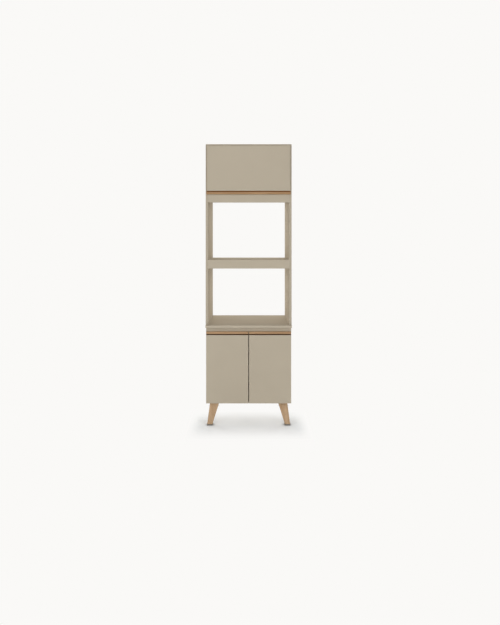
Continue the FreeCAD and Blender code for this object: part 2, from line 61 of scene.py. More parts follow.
SCREEN_FULL = 255
CURVE_FOOT = 0.04045
FOOT_SLOPE = 12.92
CURVE_OFFSET = 0.055
CURVE_POWER = 2.4


def tone(red: int, green: int, blue: int) -> Colour:
    """Turn a screen colour into the linear colour that a shader takes.

    Args:
        red: Red from 0 to 255.
        green: Green from 0 to 255.
        blue: Blue from 0 to 255.

    Returns:
        The linear red, green and blue.
    """
    def straight(value: int) -> float:
        """Undo the screen's curve, a straight foot and then a power, for one value."""
        share = value / SCREEN_FULL
        if share <= CURVE_FOOT:
            return share / FOOT_SLOPE
        return ((share + CURVE_OFFSET) / (1 + CURVE_OFFSET)) ** CURVE_POWER
    return straight(red), straight(green), straight(blue)


def shaded(colour: Colour, share: float) -> Colour:
    """A colour with each part multiplied by a share."""
    return tuple(part * share for part in colour)


class Axis(Enum):
    """The way that a grain or a brushing runs."""

    X = 0
    Y = 1
    Z = 2


class Sheet:
    """A material's node sheet, with short ways to add nodes and join them."""

    def __init__(self, name: str) -> None:
        """Make an empty material with an output and a Principled shader.

        Args:
            name: The material's name.
        """
        self.material = bpy.data.materials.new(name)
        self.material.use_nodes = True
        self.nodes = self.material.node_tree.nodes
        self.links = self.material.node_tree.links
        self.nodes.clear()
        self.output = self.nodes.new("ShaderNodeOutputMaterial")
        self.shader = self.nodes.new("ShaderNodeBsdfPrincipled")
        self.links.new(self.shader.outputs[0], self.output.inputs["Surface"])
        self.place = self.nodes.new("ShaderNodeTexCoord").outputs["Object"]

    def add(self, kind: str, inputs: dict | None = None, **settings: object) -> bpy.types.Node:
        """Add one node.

        Args:
            kind: The node's type after "ShaderNode".
            inputs: Input name or number to a value, or to an output to join.
            settings: Properties of the node.

        Returns:
            The new node.
        """
        node = self.nodes.new("ShaderNode" + kind)
        for key, value in settings.items():
            setattr(node, key, value)
        for key, value in (inputs or {}).items():
            if isinstance(value, bpy.types.NodeSocket):
                self.links.new(value, node.inputs[key])
            else:
                node.inputs[key].default_value = value
        return node

    def stretched(self, scale: Sequence[float]) -> bpy.types.NodeSocket:
        """The object's coordinates, scaled along each axis."""
        return self.add("Mapping", {"Vector": self.place, "Scale": tuple(scale)}).outputs[0]

    def noise(self, scale: float, detail: float = 3.0, place: bpy.types.NodeSocket | None = None,
              roughness: float = 0.55, distortion: float = 0.0) -> bpy.types.NodeSocket:
        """A noise value from 0 to 1.

        Args:
            scale: Features per metre.
            detail: Octaves.
            place: The coordinates, or none for the object's own.
            roughness: How strong the finer octaves are.
            distortion: How far the noise bends itself.

        Returns:
            The noise value's socket.
        """
        node = self.add("TexNoise", {"Vector": place or self.place, "Scale": scale,
                                     "Detail": detail, "Roughness": roughness,
                                     "Distortion": distortion})
        return node.outputs[0]

    def spread(self, value: bpy.types.NodeSocket, low: float, high: float,
               start: float = 0.0, end: float = 1.0) -> bpy.types.NodeSocket:
        """Map a value from the range start to end onto the range low to high."""
        node = self.add("MapRange", {"Value": value, "From Min": start, "From Max": end,
                                     "To Min": low, "To Max": high})
        return node.outputs[0]

    def sum(self, kind: str, first: object, second: object) -> bpy.types.NodeSocket:
        """One step of arithmetic on two values."""
        return self.add("Math", {0: first, 1: second}, operation=kind).outputs[0]

    def blend(self, share: bpy.types.NodeSocket, first: object,
              second: object) -> bpy.types.NodeSocket:
        """Mix two colours by a share.

        Args:
            share: How much of the second colour shows, from 0 to 1.
            first: The first colour, or a socket that gives it.
            second: The second colour, or a socket that gives it.

        Returns:
            The mixed colour's socket.
        """
        node = self.add("Mix", {0: share}, data_type="RGBA")
        for name, value in (("A", first), ("B", second)):
            socket = [one for one in node.inputs if one.name == name and one.type == "RGBA"][0]
            if isinstance(value, bpy.types.NodeSocket):
                self.links.new(value, socket)
            else:
                socket.default_value = (*value, 1.0)
        return [one for one in node.outputs if one.type == "RGBA"][0]

    def into(self, name: str, value: object) -> None:
        """Set or join one input of the shader.

        Args:
            name: The input's name.
            value: A value to set, or a socket to join.
        """
        if isinstance(value, bpy.types.NodeSocket):
            self.links.new(value, self.shader.inputs[name])
        else:
            self.shader.inputs[name].default_value = value

    def wear(self, value: bpy.types.NodeSocket, roughness: float, change: Span) -> None:
        """Make the roughness follow a value, from the span's first change to its second."""
        less, more = change
        self.into("Roughness", self.spread(value, roughness + less, roughness + more))

    def bump(self, height: bpy.types.NodeSocket, depth: float, strength: float = 1.0) -> None:
        """Join a height to the shader's normal.

        Args:
            height: The height value.
            depth: What a height of 1 stands for, in metres.
            strength: The share of the effect.
        """
        node = self.add("Bump", {"Height": height, "Distance": depth, "Strength": strength})
        self.links.new(node.outputs[0], self.shader.inputs["Normal"])


@dataclass(frozen=True)
class Lacquer:
    """Matte lacquer on smooth board: a faint drift of colour and a fine sprayed skin.

    edge_shade_share is the share of the colour that a front edge keeps, in front of the Y place
    edge_place; this darkening is painted shade for the shadow beside the flap. Scales are features
    per metre and depths are metres, here and in every finish.
    """

    name: str = "greige_lacquer"
    colour: Colour = tone(180, 169, 151)
    drift: float = 0.035
    roughness: float = 0.8
    gloss: float = 0.003
    skin_scale: float = 900.0
    skin_depth: float = 0.00005
    edge_shade_share: float = 1.0
    edge_place: float = -0.2271
    cloud_scale: float = 2.3
    cloud_range: Span = (0.3, 0.7)
    cloud_share: float = 0.75
    grit_scale: float = 420.0
    wipe_scale: float = 11.0
    wipe_change: Span = (-0.05, 0.07)

    def material(self) -> bpy.types.Material:
        """Build the material."""
        sheet = Sheet(self.name)
        cloud = sheet.noise(self.cloud_scale, detail=4.0)
        grit = sheet.noise(self.grit_scale, detail=2.0)
        share = sheet.sum("ADD", sheet.spread(cloud, 0.0, self.cloud_share, *self.cloud_range),
                          sheet.spread(grit, 0.0, 1 - self.cloud_share))
        colour = sheet.blend(share, shaded(self.colour, 1 - self.drift),
                             shaded(self.colour, 1 + self.drift))
        # Painted shade: every front edge in front of edge_place is darkened, standing in for the
        # shadow that the flap casts beside it.
        if self.edge_shade_share < 1:
            behind = sheet.add("SeparateXYZ", {0: sheet.place}).outputs["Y"]
            front = sheet.sum("LESS_THAN", behind, self.edge_place)
            colour = sheet.blend(front, colour, shaded(self.colour, self.edge_shade_share))
        sheet.into("Base Color", colour)
        wipe = sheet.noise(self.wipe_scale, detail=3.0)
        sheet.wear(wipe, self.roughness, self.wipe_change)
        sheet.into("Specular IOR Level", self.gloss)
        sheet.bump(sheet.noise(self.skin_scale, detail=2.0), self.skin_depth)
        return sheet.material


@dataclass(frozen=True)
class Wood:
    """Oiled wood with a straight grain, fine pores and a satin surface.

    A profile's groove can get painted shade: groove_shade is the darker colour painted there in
    place of the shade that falls in it, shade_from and shade_to are the Y places between which it
    comes in, and groove is the groove's lowest and highest place.
    A break says how strong the finer octaves of a noise are, and a bend how far it bends itself.
    """

    name: str
    dark: Colour
    light: Colour
    along: Axis
    roughness: float = 0.55
    ring_scale: float = 46.0
    pore_scale: float = 520.0
    stretch: float = 0.045
    groove_shade: Colour | None = None
    shade_from: float = -0.2472
    shade_to: float = -0.2462
    groove: Span = (0.0, 0.0)
    ring_bend: float = 0.7
    ring_break: float = 0.62
    ring_range: Span = (0.32, 0.68)
    ring_share: float = 0.8
    fibre_break: float = 0.7
    fibre_change: Span = (-0.15, 0.35)
    pore_range: Span = (0.28, 0.4)
    pore_share: float = 0.55
    groove_shade_shares: Span = (0.7, 1.25)
    ring_wear: Span = (-0.06, 0.08)
    gloss: float = 0.2
    pore_depth: float = 0.00012

    def material(self) -> bpy.types.Material:
        """Build the material."""
        sheet = Sheet(self.name)
        scale = [1.0, 1.0, 1.0]
        scale[self.along.value] = self.stretch
        place = sheet.stretched(scale)
        rings = sheet.noise(self.ring_scale, detail=5.0, place=place,
                            roughness=self.ring_break, distortion=self.ring_bend)
        fibre = sheet.noise(self.pore_scale, detail=3.0, place=place, roughness=self.fibre_break)
        grain = sheet.sum("ADD", sheet.spread(rings, 0.0, self.ring_share, *self.ring_range),
                          sheet.spread(fibre, *self.fibre_change))
        ground = sheet.blend(grain, self.dark, self.light)
        pores = sheet.spread(fibre, 1.0, 0.0, *self.pore_range)
        colour = sheet.blend(pores, ground, shaded(self.dark, self.pore_share))
        # Painted shade: inside the groove the colour turns darker, standing in for the shade that
        # falls there.
        if self.groove_shade:
            sides = sheet.add("SeparateXYZ", {0: sheet.place}).outputs
            low, high = self.groove
            away = sheet.sum("ABSOLUTE", sheet.sum("SUBTRACT", sides["Z"], (low + high) / 2), 0.0)
            share = sheet.sum("MULTIPLY", sheet.sum("LESS_THAN", away, (high - low) / 2),
                              sheet.spread(sides["Y"], 0.0, 1.0, self.shade_from, self.shade_to))
            deep, fair = (shaded(self.groove_shade, part) for part in self.groove_shade_shares)
            colour = sheet.blend(share, colour, sheet.blend(grain, deep, fair))
        sheet.into("Base Color", colour)
        sheet.wear(rings, self.roughness, self.ring_wear)
        sheet.into("Specular IOR Level", self.gloss)
        sheet.bump(sheet.sum("SUBTRACT", fibre, pores), self.pore_depth)
        return sheet.material


@dataclass(frozen=True)
class Metal:
    """Plated steel with a fine brushing and faint clouds in its shine."""

    name: str
    colour: Colour
    roughness: float = 0.32
    brushing: Axis = Axis.Z
    stretch: float = 0.04
    line_scale: float = 2600.0
    line_wear: Span = (-0.08, 0.1)
    line_depth: float = 0.00002
    cloud_scale: float = 60.0
    dull_share: float = 0.86

    def material(self) -> bpy.types.Material:
        """Build the material."""
        sheet = Sheet(self.name)
        scale = [1.0, 1.0, 1.0]
        scale[self.brushing.value] = self.stretch
        lines = sheet.noise(self.line_scale, detail=2.0, place=sheet.stretched(scale))
        cloud = sheet.noise(self.cloud_scale, detail=3.0)
        dull = shaded(self.colour, self.dull_share)
        sheet.into("Base Color", sheet.blend(cloud, dull, self.colour))
        sheet.into("Metallic", 1.0)
        sheet.wear(lines, self.roughness, self.line_wear)
        sheet.bump(lines, self.line_depth)
        return sheet.material


@dataclass(frozen=True)
class Moulded:
    """Moulded plastic or rubber with a fine spark-eroded grain."""

    name: str
    colour: Colour
    roughness: float = 0.55
    grain: float = 1400.0
    depth: float = 0.00004
    grain_wear: Span = (-0.06, 0.1)
    cloud_scale: float = 35.0
    dull_share: float = 0.88

    def material(self) -> bpy.types.Material:
        """Build the material."""
        sheet = Sheet(self.name)
        grain = sheet.noise(self.grain, detail=3.0)
        cloud = sheet.noise(self.cloud_scale, detail=3.0)
        dull = shaded(self.colour, self.dull_share)
        sheet.into("Base Color", sheet.blend(cloud, dull, self.colour))
        sheet.wear(grain, self.roughness, self.grain_wear)
        sheet.bump(grain, self.depth)
        return sheet.material


@dataclass(frozen=True)
class Hardboard:
    """Thin pressed board, lacquered, with a faint fibrous surface."""

    name: str = "back_hardboard"
    colour: Colour = tone(184, 175, 158)
    roughness: float = 0.62
    fibre_scale: float = 260.0
    fibre_break: float = 0.7
    fibre_bend: float = 1.2
    fibre_depth: float = 0.00008
    cloud_scale: float = 4.0
    cloud_shares: Span = (0.7, 1.2)
    dark_share: float = 0.9

    def material(self) -> bpy.types.Material:
        """Build the material."""
        sheet = Sheet(self.name)
        fibre = sheet.noise(self.fibre_scale, detail=5.0, roughness=self.fibre_break,
                            distortion=self.fibre_bend)
        cloud = sheet.noise(self.cloud_scale, detail=3.0)
        share = sheet.sum("MULTIPLY", fibre, sheet.spread(cloud, *self.cloud_shares))
        dark = shaded(self.colour, self.dark_share)
        sheet.into("Base Color", sheet.blend(share, dark, self.colour))
        sheet.into("Roughness", self.roughness)
        sheet.bump(fibre, self.fibre_depth)
        return sheet.material


Finish = Lacquer | Wood | Metal | Moulded | Hardboard


@dataclass
class Finishes:
    """Every finish of the cabinet, each built once."""

    made: dict[str, bpy.types.Material] = field(default_factory=dict)

    def use(self, finish: Finish) -> bpy.types.Material:
        """Look a finish's material up, building it the first time.

        Args:
            finish: The finish.

        Returns:
            The material.
        """
        if finish.name not in self.made:
            self.made[finish.name] = finish.material()
        return self.made[finish.name]


# The groove colours given below are painted shade; the doors' is darker because their grooves lie
# in deeper shade under the strip.
FLAP_HANDLE_WOOD = Wood("flap_handle_wood", tone(144, 110, 75), tone(182, 148, 110), Axis.X,
                        groove_shade=tone(118, 74, 33), groove=(1.7655, 1.7760))
DOOR_HANDLE_WOOD = Wood("door_handle_wood", tone(148, 114, 80), tone(186, 152, 116), Axis.X,
                        groove_shade=tone(66, 36, 12), groove=(0.6882, 0.6985))
LEG_WOOD = Wood("leg_wood", tone(167, 136, 104), tone(198, 169, 137), Axis.Z, stretch=0.06)
DOWEL_WOOD = Wood("dowel_wood", tone(186, 150, 106), tone(208, 178, 134), Axis.X)
LACQUER = Lacquer()
# Lacquer whose front edges carry painted shade, for the shadow beside the flap.
EDGE_SHADED_LACQUER = Lacquer("edge_shaded_lacquer", edge_shade_share=0.93)
HARDBOARD = Hardboard()
CAP = Moulded("screw_cap", tone(178, 168, 150), roughness=0.5)
PAD = Moulded("foot_pad", tone(126, 120, 111), roughness=0.85, grain=700.0, depth=0.0002)
BUMPER = Moulded("soft_stop", tone(214, 212, 205), roughness=0.3)
NICKEL = Metal("nickel_plate", tone(196, 194, 189), roughness=0.28)
ZINC = Metal("zinc_plate", tone(180, 180, 178), roughness=0.36)
GREY_PLASTIC = Moulded("lift_case", tone(160, 160, 158), roughness=0.5)
SPRING = Metal("spring_steel", tone(96, 96, 98), roughness=0.4)


Loop = list[tuple[float, float]]
Stations = list[tuple[Loop, float]]
Shares = tuple[tuple[float, float], ...]

SEGMENTS = 24
FIRST_ANGLE = math.radians(-15)
HEX_CORNERS = 6
QUARTER_TURN = math.pi / 2
SMOOTH_ANGLE = math.radians(38)
REARWARDS = Vector((0.0, 1.0, 0.0))
POINT_DIGITS = 6
NEAR = 0.00002
RIM_SHARE = 0.95

CROSS_HALF_SHARE = 0.17
RECESS_FLOOR_SHARE = 0.75
RECESS_DEPTH_SHARE = 0.6
RECESS_LIP_SHARE = 0.02
TIP_SHARE = 0.3
POINT_SHARE = 0.15
PIN_ROUND_SHARE = 0.4

# Pairs of a share of the radius and a share of the height of a head, a disc or a rounded end.
HEAD_SHARES: Shares = ((0.74, 0.02), (0.9, 0.1), (0.985, 0.28), (1.0, 0.45), (1.0, 1.0))
BUTTON_SHARES: Shares = ((0.12, 0.0), (0.45, 0.05), (0.7, 0.16), (0.87, 0.34), (0.97, 0.6),
                         (1.0, 0.85), (1.0, 1.0))
CAP_SHARES: Shares = ((0.3, 0.0), (0.86, 0.0), (0.94, 0.04), (0.985, 0.14), (1.0, 0.3), (1.0, 1.0))
PIN_END_SHARES: Shares = ((0.4, 0.0), (0.8, 0.3), (1.0, 1.0))


class Drive(Enum):
    """The recess in a fastener's head, with its reach as a share of the head's radius."""

    CROSS = 0.62
    HEX = 0.52
    NONE = 0.4


def ring(radius: float, count: int = SEGMENTS) -> Loop:
    """Points evenly round a circle."""
    angles = [FIRST_ANGLE + math.tau * step / count for step in range(count)]
    return [(radius * math.cos(angle), radius * math.sin(angle)) for angle in angles]


def recess(drive: Drive, radius: float) -> Loop:
    """Outline of a drive recess, with as many points as a ring.

    Args:
        drive: The recess's kind.
        radius: The head's radius.

    Returns:
        The outline's points.
    """
    reach = radius * drive.value
    if drive is Drive.CROSS:
        half = radius * CROSS_HALF_SHARE
        corners = []
        for turn in range(4):
            cos, sin = round(math.cos(turn * QUARTER_TURN)), round(math.sin(turn * QUARTER_TURN))
            corners += [(x * cos - y * sin, x * sin + y * cos)
                        for x, y in ((reach, -half), (reach, half), (half, half))]
    else:
        corners = ring(reach, HEX_CORNERS if drive is Drive.HEX else SEGMENTS)
    steps = SEGMENTS // len(corners)
    points = []
    for (x0, y0), (x1, y1) in zip(corners, corners[1:] + corners[:1]):
        points += [(x0 + (x1 - x0) * step / steps, y0 + (y1 - y0) * step / steps)
                   for step in range(steps)]
    return points


@dataclass(frozen=True)
class Seat:
    """Where a turned piece sits: the middle of its outer end, the way inwards and its sizes."""

    top: Vector
    way: Vector
    head_radius: float
    head_high: float
    shank_radius: float
    length: float

    def screw(self, drive: Drive) -> Stations:
        """Outlines of a screw, from the floor of its recess to its tip.

        Args:
            drive: The recess in its head.

        Returns:
            The outlines with their heights above the head's outer end.
        """
        mouth = recess(drive, self.head_radius)
        high = self.head_high
        deep = 0.0 if drive is Drive.NONE else RECESS_DEPTH_SHARE * high
        tip = min(2 * self.shank_radius, TIP_SHARE * (self.length - high))
        floor = [(x * RECESS_FLOOR_SHARE, y * RECESS_FLOOR_SHARE) for x, y in mouth]
        head = [(ring(self.head_radius * wide), -down * high) for wide, down in HEAD_SHARES]
        shank = [(ring(self.shank_radius), -high), (ring(self.shank_radius), tip - self.length),
                 (ring(self.shank_radius * POINT_SHARE), -self.length)]
        return [(floor, -deep), (mouth, -RECESS_LIP_SHARE * high), *head, *shank]

    def disc(self, shares: Shares) -> Stations:
        """Outlines of a disc, from its crown to its base, by shares of its radius and length."""
        return [(ring(self.head_radius * wide), -self.length * deep) for wide, deep in shares]

    def pin(self) -> Stations:
        """Outlines of a shelf pin with two rounded ends, with their heights above its outer end."""
        rounding = PIN_ROUND_SHARE * self.shank_radius
        outer = [(wide, rounding * deep) for wide, deep in PIN_END_SHARES]
        inner = [(wide, self.length - deep) for wide, deep in reversed(outer)]
        return [(ring(self.shank_radius * wide), -deep) for wide, deep in outer + inner]


def solids(node: bpy.types.Object) -> list[list[Vector]]:
    """Split a node's mesh into its separate solids.

    Args:
        node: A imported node.

    Returns:
        The points of each solid.
    """
    keys: dict[tuple[float, ...], int] = {}
    spots = [keys.setdefault(tuple(round(part, POINT_DIGITS) for part in vert.co), len(keys))
             for vert in node.data.vertices]
    parents = list(range(len(keys)))

    def root(index: int) -> int:
        """Follow a point to the first of its solid."""
        while parents[index] != index:
            parents[index] = parents[parents[index]]
            index = parents[index]
        return index

    for face in node.data.polygons:
        first = root(spots[face.vertices[0]])
        for corner in face.vertices[1:]:
            parents[root(spots[corner])] = first
    groups: dict[int, list[Vector]] = {}
    for place, index in keys.items():
        groups.setdefault(root(index), []).append(Vector(place))
    return list(groups.values())


def seat_of(points: list[Vector], outward: Vector | None = None) -> Seat:
    """Read a turned solid's place and sizes from its points.

    Args:
        points: The solid's points.
        outward: The way that a disc faces, or none for a piece that lies along its longest side.

    Returns:
        The seat.
    """
    low = Vector([min(point[side] for point in points) for side in range(3)])
    high = Vector([max(point[side] for point in points) for side in range(3)])
    size = high - low
    middle = (low + high) / 2
    sides = [abs(part) for part in outward] if outward else list(size)
    axis = sides.index(max(sides))

    def radius(point: Vector) -> float:
        """Distance from the solid's axis."""
        return math.dist([point[side] for side in range(3) if side != axis],
                         [middle[side] for side in range(3) if side != axis])

    ends = [max(radius(point) for point in points if abs(point[axis] - end[axis]) < NEAR)
            for end in (low, high)]
    up = outward[axis] > 0 if outward else ends[1] > ends[0]
    head_radius = max(ends)
    head = [point[axis] for point in points if radius(point) > RIM_SHARE * head_radius]
    way = Vector((0.0, 0.0, 0.0))
    way[axis] = -1.0 if up else 1.0
    top = middle.copy()
    top[axis] = (high if up else low)[axis]
    return Seat(top, way, head_radius, max(head) - min(head), min(ends), size[axis])


class Turning:
    """A mesh of turned pieces, each laid out from its outer end."""

    def __init__(self) -> None:
        """Start with no points and no faces."""
        self.points: list[Vector] = []
        self.faces: list[tuple[int, ...]] = []

    def add(self, seat: Seat, stations: Stations) -> None:
        """Add one piece.

        Args:
            seat: Its place.
            stations: Its outlines with their heights above the outer end.
        """
        turn = (-seat.way).to_track_quat("Z", "Y")
        start = len(self.points)
        for loop, height in stations:
            self.points += [seat.top + turn @ Vector((x, y, height)) for x, y in loop]
        self.faces.append(tuple(start + step for step in range(SEGMENTS)))
        for row in range(len(stations) - 1):
            first = start + row * SEGMENTS
            for step in range(SEGMENTS):
                after = (step + 1) % SEGMENTS
                self.faces.append((first + SEGMENTS + step, first + SEGMENTS + after,
                                   first + after, first + step))
        last = start + (len(stations) - 1) * SEGMENTS
        self.faces.append(tuple(last + step for step in reversed(range(SEGMENTS))))

    def piece(self, name: str) -> bpy.types.Object:
        """Make the object, smooth but for its sharp edges.

        Args:
            name: The object's name.

        Returns:
            The object, in the scene.
        """
        mesh = bpy.data.meshes.new(name)
        mesh.from_pydata(self.points, [], self.faces)
        mesh.shade_smooth()
        mesh.set_sharp_from_angle(angle=SMOOTH_ANGLE)
        piece = bpy.data.objects.new(name, mesh)
        bpy.context.collection.objects.link(piece)
        return piece


@dataclass
class Bench:
    """What every sub-assembly works with: nodes, their bodies and slots, and the finishes."""

    nodes: dict[str, bpy.types.Object]
    bodies: dict[str, str]
    slots: dict[str, str]
    finishes: Finishes


@dataclass
class Assembly:
    """One sub-assembly made of CAD nodes, dressed with finishes and softened edges.

    The sawn edges of the thin nodes named in crisp are left sharp.
    """

    bench: Bench
    coats: dict[str, Finish] = field(default_factory=dict)
    soft_edge: float = 0.0006
    segments: int = 2
    weld: float = 0.00001
    sharp: float = math.radians(35)
    crisp: tuple[str, ...] = ("upper_back_panel", "base_back_panel")

    def dress(self) -> None:
        """Give each node its finish and soften its edges."""
        for name, finish in self.coats.items():
            node = self.bench.nodes[name]
            self.coat(node, finish)
            self.soften(node)
            LOG.info("dressed %s with %s", name, finish.name)

    def stand_in(self, piece: bpy.types.Object, name: str, finish: Finish) -> None:
        """Let a modelled piece stand for a node.

        Args:
            piece: The modelled piece, in place.
            name: The node.
            finish: The piece's finish.
        """
        self.coat(piece, finish)
        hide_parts(name)
        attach(piece, self.bench.bodies[name])
        LOG.info("modelled %s with %s", piece.name, finish.name)

    def coat(self, node: bpy.types.Object, finish: Finish) -> None:
        """Put a finish in every material slot of a piece.

        Args:
            node: The node or modelled piece.
            finish: Its finish.
        """
        material = self.bench.finishes.use(finish)
        if not node.material_slots:
            node.data.materials.append(material)
        for slot in node.material_slots:
            slot.material = material

    def soften(self, node: bpy.types.Object) -> None:
        """Join a node's points and round its sharp edges a little.

        Args:
            node: The node.
        """
        weld = node.modifiers.new("weld", "WELD")
        weld.merge_threshold = self.weld
        if node.name not in self.crisp:
            bevel = node.modifiers.new("soft_edge", "BEVEL")
            bevel.width = self.soft_edge
            bevel.segments = self.segments
            bevel.limit_method = "ANGLE"
            bevel.angle_limit = self.sharp
        LOG.debug("softened %s", node.name)


class TowerCase(Assembly):
    """The tower above the counter: sides, top, floor, shelf, rails and back panel."""

    def __init__(self, bench: Bench) -> None:
        """Name the tower's boards and their finishes."""
        boards = ("left_tower_side", "right_tower_side", "tower_top", "upper_cupboard_floor",
                  "upper_front_rail", "middle_shelf", "middle_front_rail")
        # The tower sides' front edges get painted shade.
        coats = {name: EDGE_SHADED_LACQUER if name.endswith("side") else LACQUER for name in boards}
        coats["upper_back_panel"] = HARDBOARD
        super().__init__(bench, coats)


class BaseCase(Assembly):
    """The base cupboard and the counter."""

    def __init__(self, bench: Bench) -> None:
        """Name the base's boards and their finishes."""
        boards = ("counter_top", "left_base_side", "right_base_side", "base_floor",
                  "base_front_rail", "base_rear_rail", "inner_shelf")
        coats = {name: LACQUER for name in boards}
        coats["base_back_panel"] = HARDBOARD
        super().__init__(bench, coats)


class Leaves(Assembly):
    """The two doors and the flap with their handle profiles."""

    def __init__(self, bench: Bench) -> None:
        """Name the leaves and their finishes."""
        coats = {"left_door": LACQUER, "right_door": LACQUER, "flap_panel": LACQUER,
                 "left_door_handle": DOOR_HANDLE_WOOD, "right_door_handle": DOOR_HANDLE_WOOD,
                 "flap_handle": FLAP_HANDLE_WOOD}
        super().__init__(bench, coats, soft_edge=0.0008)


class LegSet(Assembly):
    """Four splayed legs on thin pads."""

    def __init__(self, bench: Bench) -> None:
        """Name the legs and their pads with their finishes."""
        coats = {f"{row}_{side}_leg": LEG_WOOD
                 for row in ("front", "rear") for side in ("left", "right")}
        coats["foot_pads"] = PAD
        super().__init__(bench, coats, soft_edge=0.0005)


class Ironwork(Assembly):
    """Hinges, lift units, wall angles and pins."""

    def __init__(self, bench: Bench) -> None:
        """Name the metal and plastic fittings and their finishes."""
        names = ["hinge_arms", "hinge_plates", "wall_brackets", "flap_hinge_cups",
                 "flap_hinge_pins", "flap_lift_brackets"]
        for side in ("left", "right"):
            names += [f"{side}_door_hinge_cups", f"{side}_door_hinge_pins", f"{side}_lift_arm",
                      f"{side}_lift_link"]
        coats = {name: NICKEL for name in names}
        coats |= {"lift_housings": GREY_PLASTIC, "lift_covers": GREY_PLASTIC,
                  "lift_springs": SPRING}
        super().__init__(bench, coats, soft_edge=0.0003)


def sideways(point: Vector) -> Vector:
    """The way out of the cabinet's side that a point is at."""
    return Vector((-1.0 if point.x < 0 else 1.0, 0.0, 0.0))


class Fasteners(Assembly):
    """Screws, caps, dowels, nails, shelf pins and soft stops."""

    def __init__(self, bench: Bench) -> None:
        """Name the dowels with their finish, and the screws and nails with their recesses."""
        super().__init__(bench, {"rail_dowels": DOWEL_WOOD, "counter_dowels": DOWEL_WOOD})
        self.drives = {"leg_screws": Drive.HEX, "back_panel_nails": Drive.NONE}
        for name in ("carcass_screws", "counter_screws", "fitting_screws", "flap_screws",
                     "left_door_screws", "right_door_screws"):
            self.drives[name] = Drive.CROSS

    def dress(self) -> None:
        """Dress the dowels and model the turned fasteners."""
        super().dress()
        for name, drive in self.drives.items():
            self.turn(name, f"{name}_turned", ZINC, lambda seat: seat.screw(drive))
        self.turn("screw_caps", "screw_caps_turned", CAP,
                  lambda seat: seat.disc(CAP_SHARES), sideways)
        self.turn("shelf_pins", "shelf_pins_turned", ZINC, Seat.pin)
        for leaf in ("left_door", "right_door", "flap"):
            self.turn(f"{leaf}_bumpers", f"{leaf}_soft_stops", BUMPER,
                      lambda seat: seat.disc(BUTTON_SHARES), lambda point: REARWARDS)

    def turn(self, name: str, piece: str, finish: Finish, shape: Callable[[Seat], Stations],
             outward: Callable[[Vector], Vector | None] = lambda point: None) -> None:
        """Model a node's solids as turned pieces in one mesh that stands for the node.

        Args:
            name: The node.
            piece: The modelled piece's name.
            finish: Its finish.
            shape: The outlines for one seat.
            outward: The way that a disc with a point there faces, or none for a longer piece.
        """
        turning = Turning()
        for points in solids(self.bench.nodes[name]):
            seat = seat_of(points, outward(points[0]))
            turning.add(seat, shape(seat))
        self.stand_in(turning.piece(piece), name, finish)


@dataclass(frozen=True)
class Lamp:
    """One large soft lamp: its place and size in metres and its power in watts."""

    name: str
    place: tuple[float, float, float]
    size: float
    power: float


@dataclass(frozen=True)
class Contact:
    """How the floor's colour gets painted contact shade close to what stands on it.

    reach is the distance in metres within which it looks for what stands there, share is the part
    of the colour that full shade takes away, and start is the openness at which shade is full.
    """

    reach: float
    share: float
    start: float

    def shade(self, sheet: Sheet, colour: Colour) -> bpy.types.NodeSocket:
        """A colour with painted shade close to what stands on the floor.

        Args:
            sheet: The floor's node sheet.
            colour: The colour of the open floor.

        Returns:
            The shaded colour's socket.
        """
        clear = sheet.add("AmbientOcclusion", {"Distance": self.reach}).outputs["AO"]
        # Painted contact shade: the darkest colour, used where the floor is most closed in.
        contact_shade_colour = shaded(colour, 1 - self.share)
        return sheet.blend(sheet.spread(clear, 0.0, 1.0, self.start), contact_shade_colour, colour)


